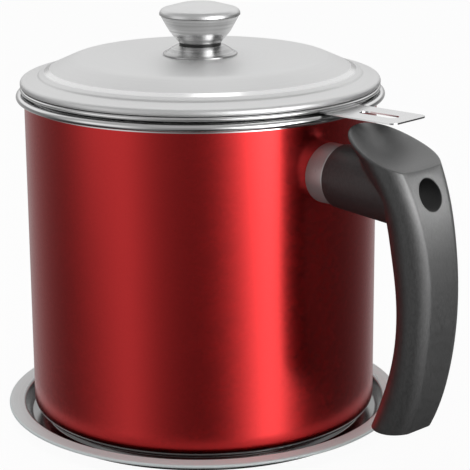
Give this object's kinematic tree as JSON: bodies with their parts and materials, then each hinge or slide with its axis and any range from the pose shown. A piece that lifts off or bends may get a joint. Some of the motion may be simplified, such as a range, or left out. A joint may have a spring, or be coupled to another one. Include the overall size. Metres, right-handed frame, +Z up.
{
  "type": "bacon grease container",
  "caption": "Round lacquered steel pot with a moulded side handle, on a drip tray, with a lift-out mesh strainer and a domed lid with a waisted knob.",
  "frame": {"origin": "centre of the flat ring on the drip tray's underside, on the pot's axis and level with the table", "axes": "+Z up along the pot's axis, +X from the pot towards its handle, +Y to the left of the handle as seen from the pot"},
  "size_m": [0.2077, 0.161, 0.1684],
  "materials": {
    "red_lacquer": "metallic satin lacquer, bare polished rim",
    "satin_steel": "soft satin",
    "bright_steel": "bright",
    "polished_steel": "polished",
    "woven_steel": "fine woven wire",
    "zinc_steel": "zinc plated",
    "black_moulding": "fine matt grain",
    "black_ring": "matt"
  },
  "bodies": {
    "tray": {"drip_tray": "bright_steel"},
    "pot": {"pot_shell": "red_lacquer", "handle_boss": "bright_steel", "handle_ferrule": "bright_steel", "handle_grip": "black_moulding", "handle_screw": "zinc_steel", "handle_flat_washer": "zinc_steel", "handle_spring_washer": "zinc_steel"},
    "strainer": {"strainer_rim": "bright_steel", "strainer_mesh": "woven_steel", "strainer_band": "bright_steel", "strainer_ear": "bright_steel"},
    "lid": {"lid_shell": "satin_steel", "knob_base": "polished_steel", "knob_spacer": "black_ring", "knob_cup": "polished_steel", "knob_cap": "polished_steel", "knob_insert": "zinc_steel", "knob_screw": "zinc_steel", "knob_flat_washer": "zinc_steel", "knob_spring_washer": "zinc_steel"}
  },
  "joints": [
    {"name": "pot_lift", "type": "slide", "parent": "tray", "child": "pot", "axis": [0, 0, 1], "range_m": [0, 0.03]},
    {"name": "strainer_lift", "type": "slide", "parent": "pot", "child": "strainer", "axis": [0, 0, 1], "range_m": [0, 0.06]},
    {"name": "lid_lift", "type": "slide", "parent": "strainer", "child": "lid", "axis": [0, 0, 1], "range_m": [0, 0.05]}
  ]
}
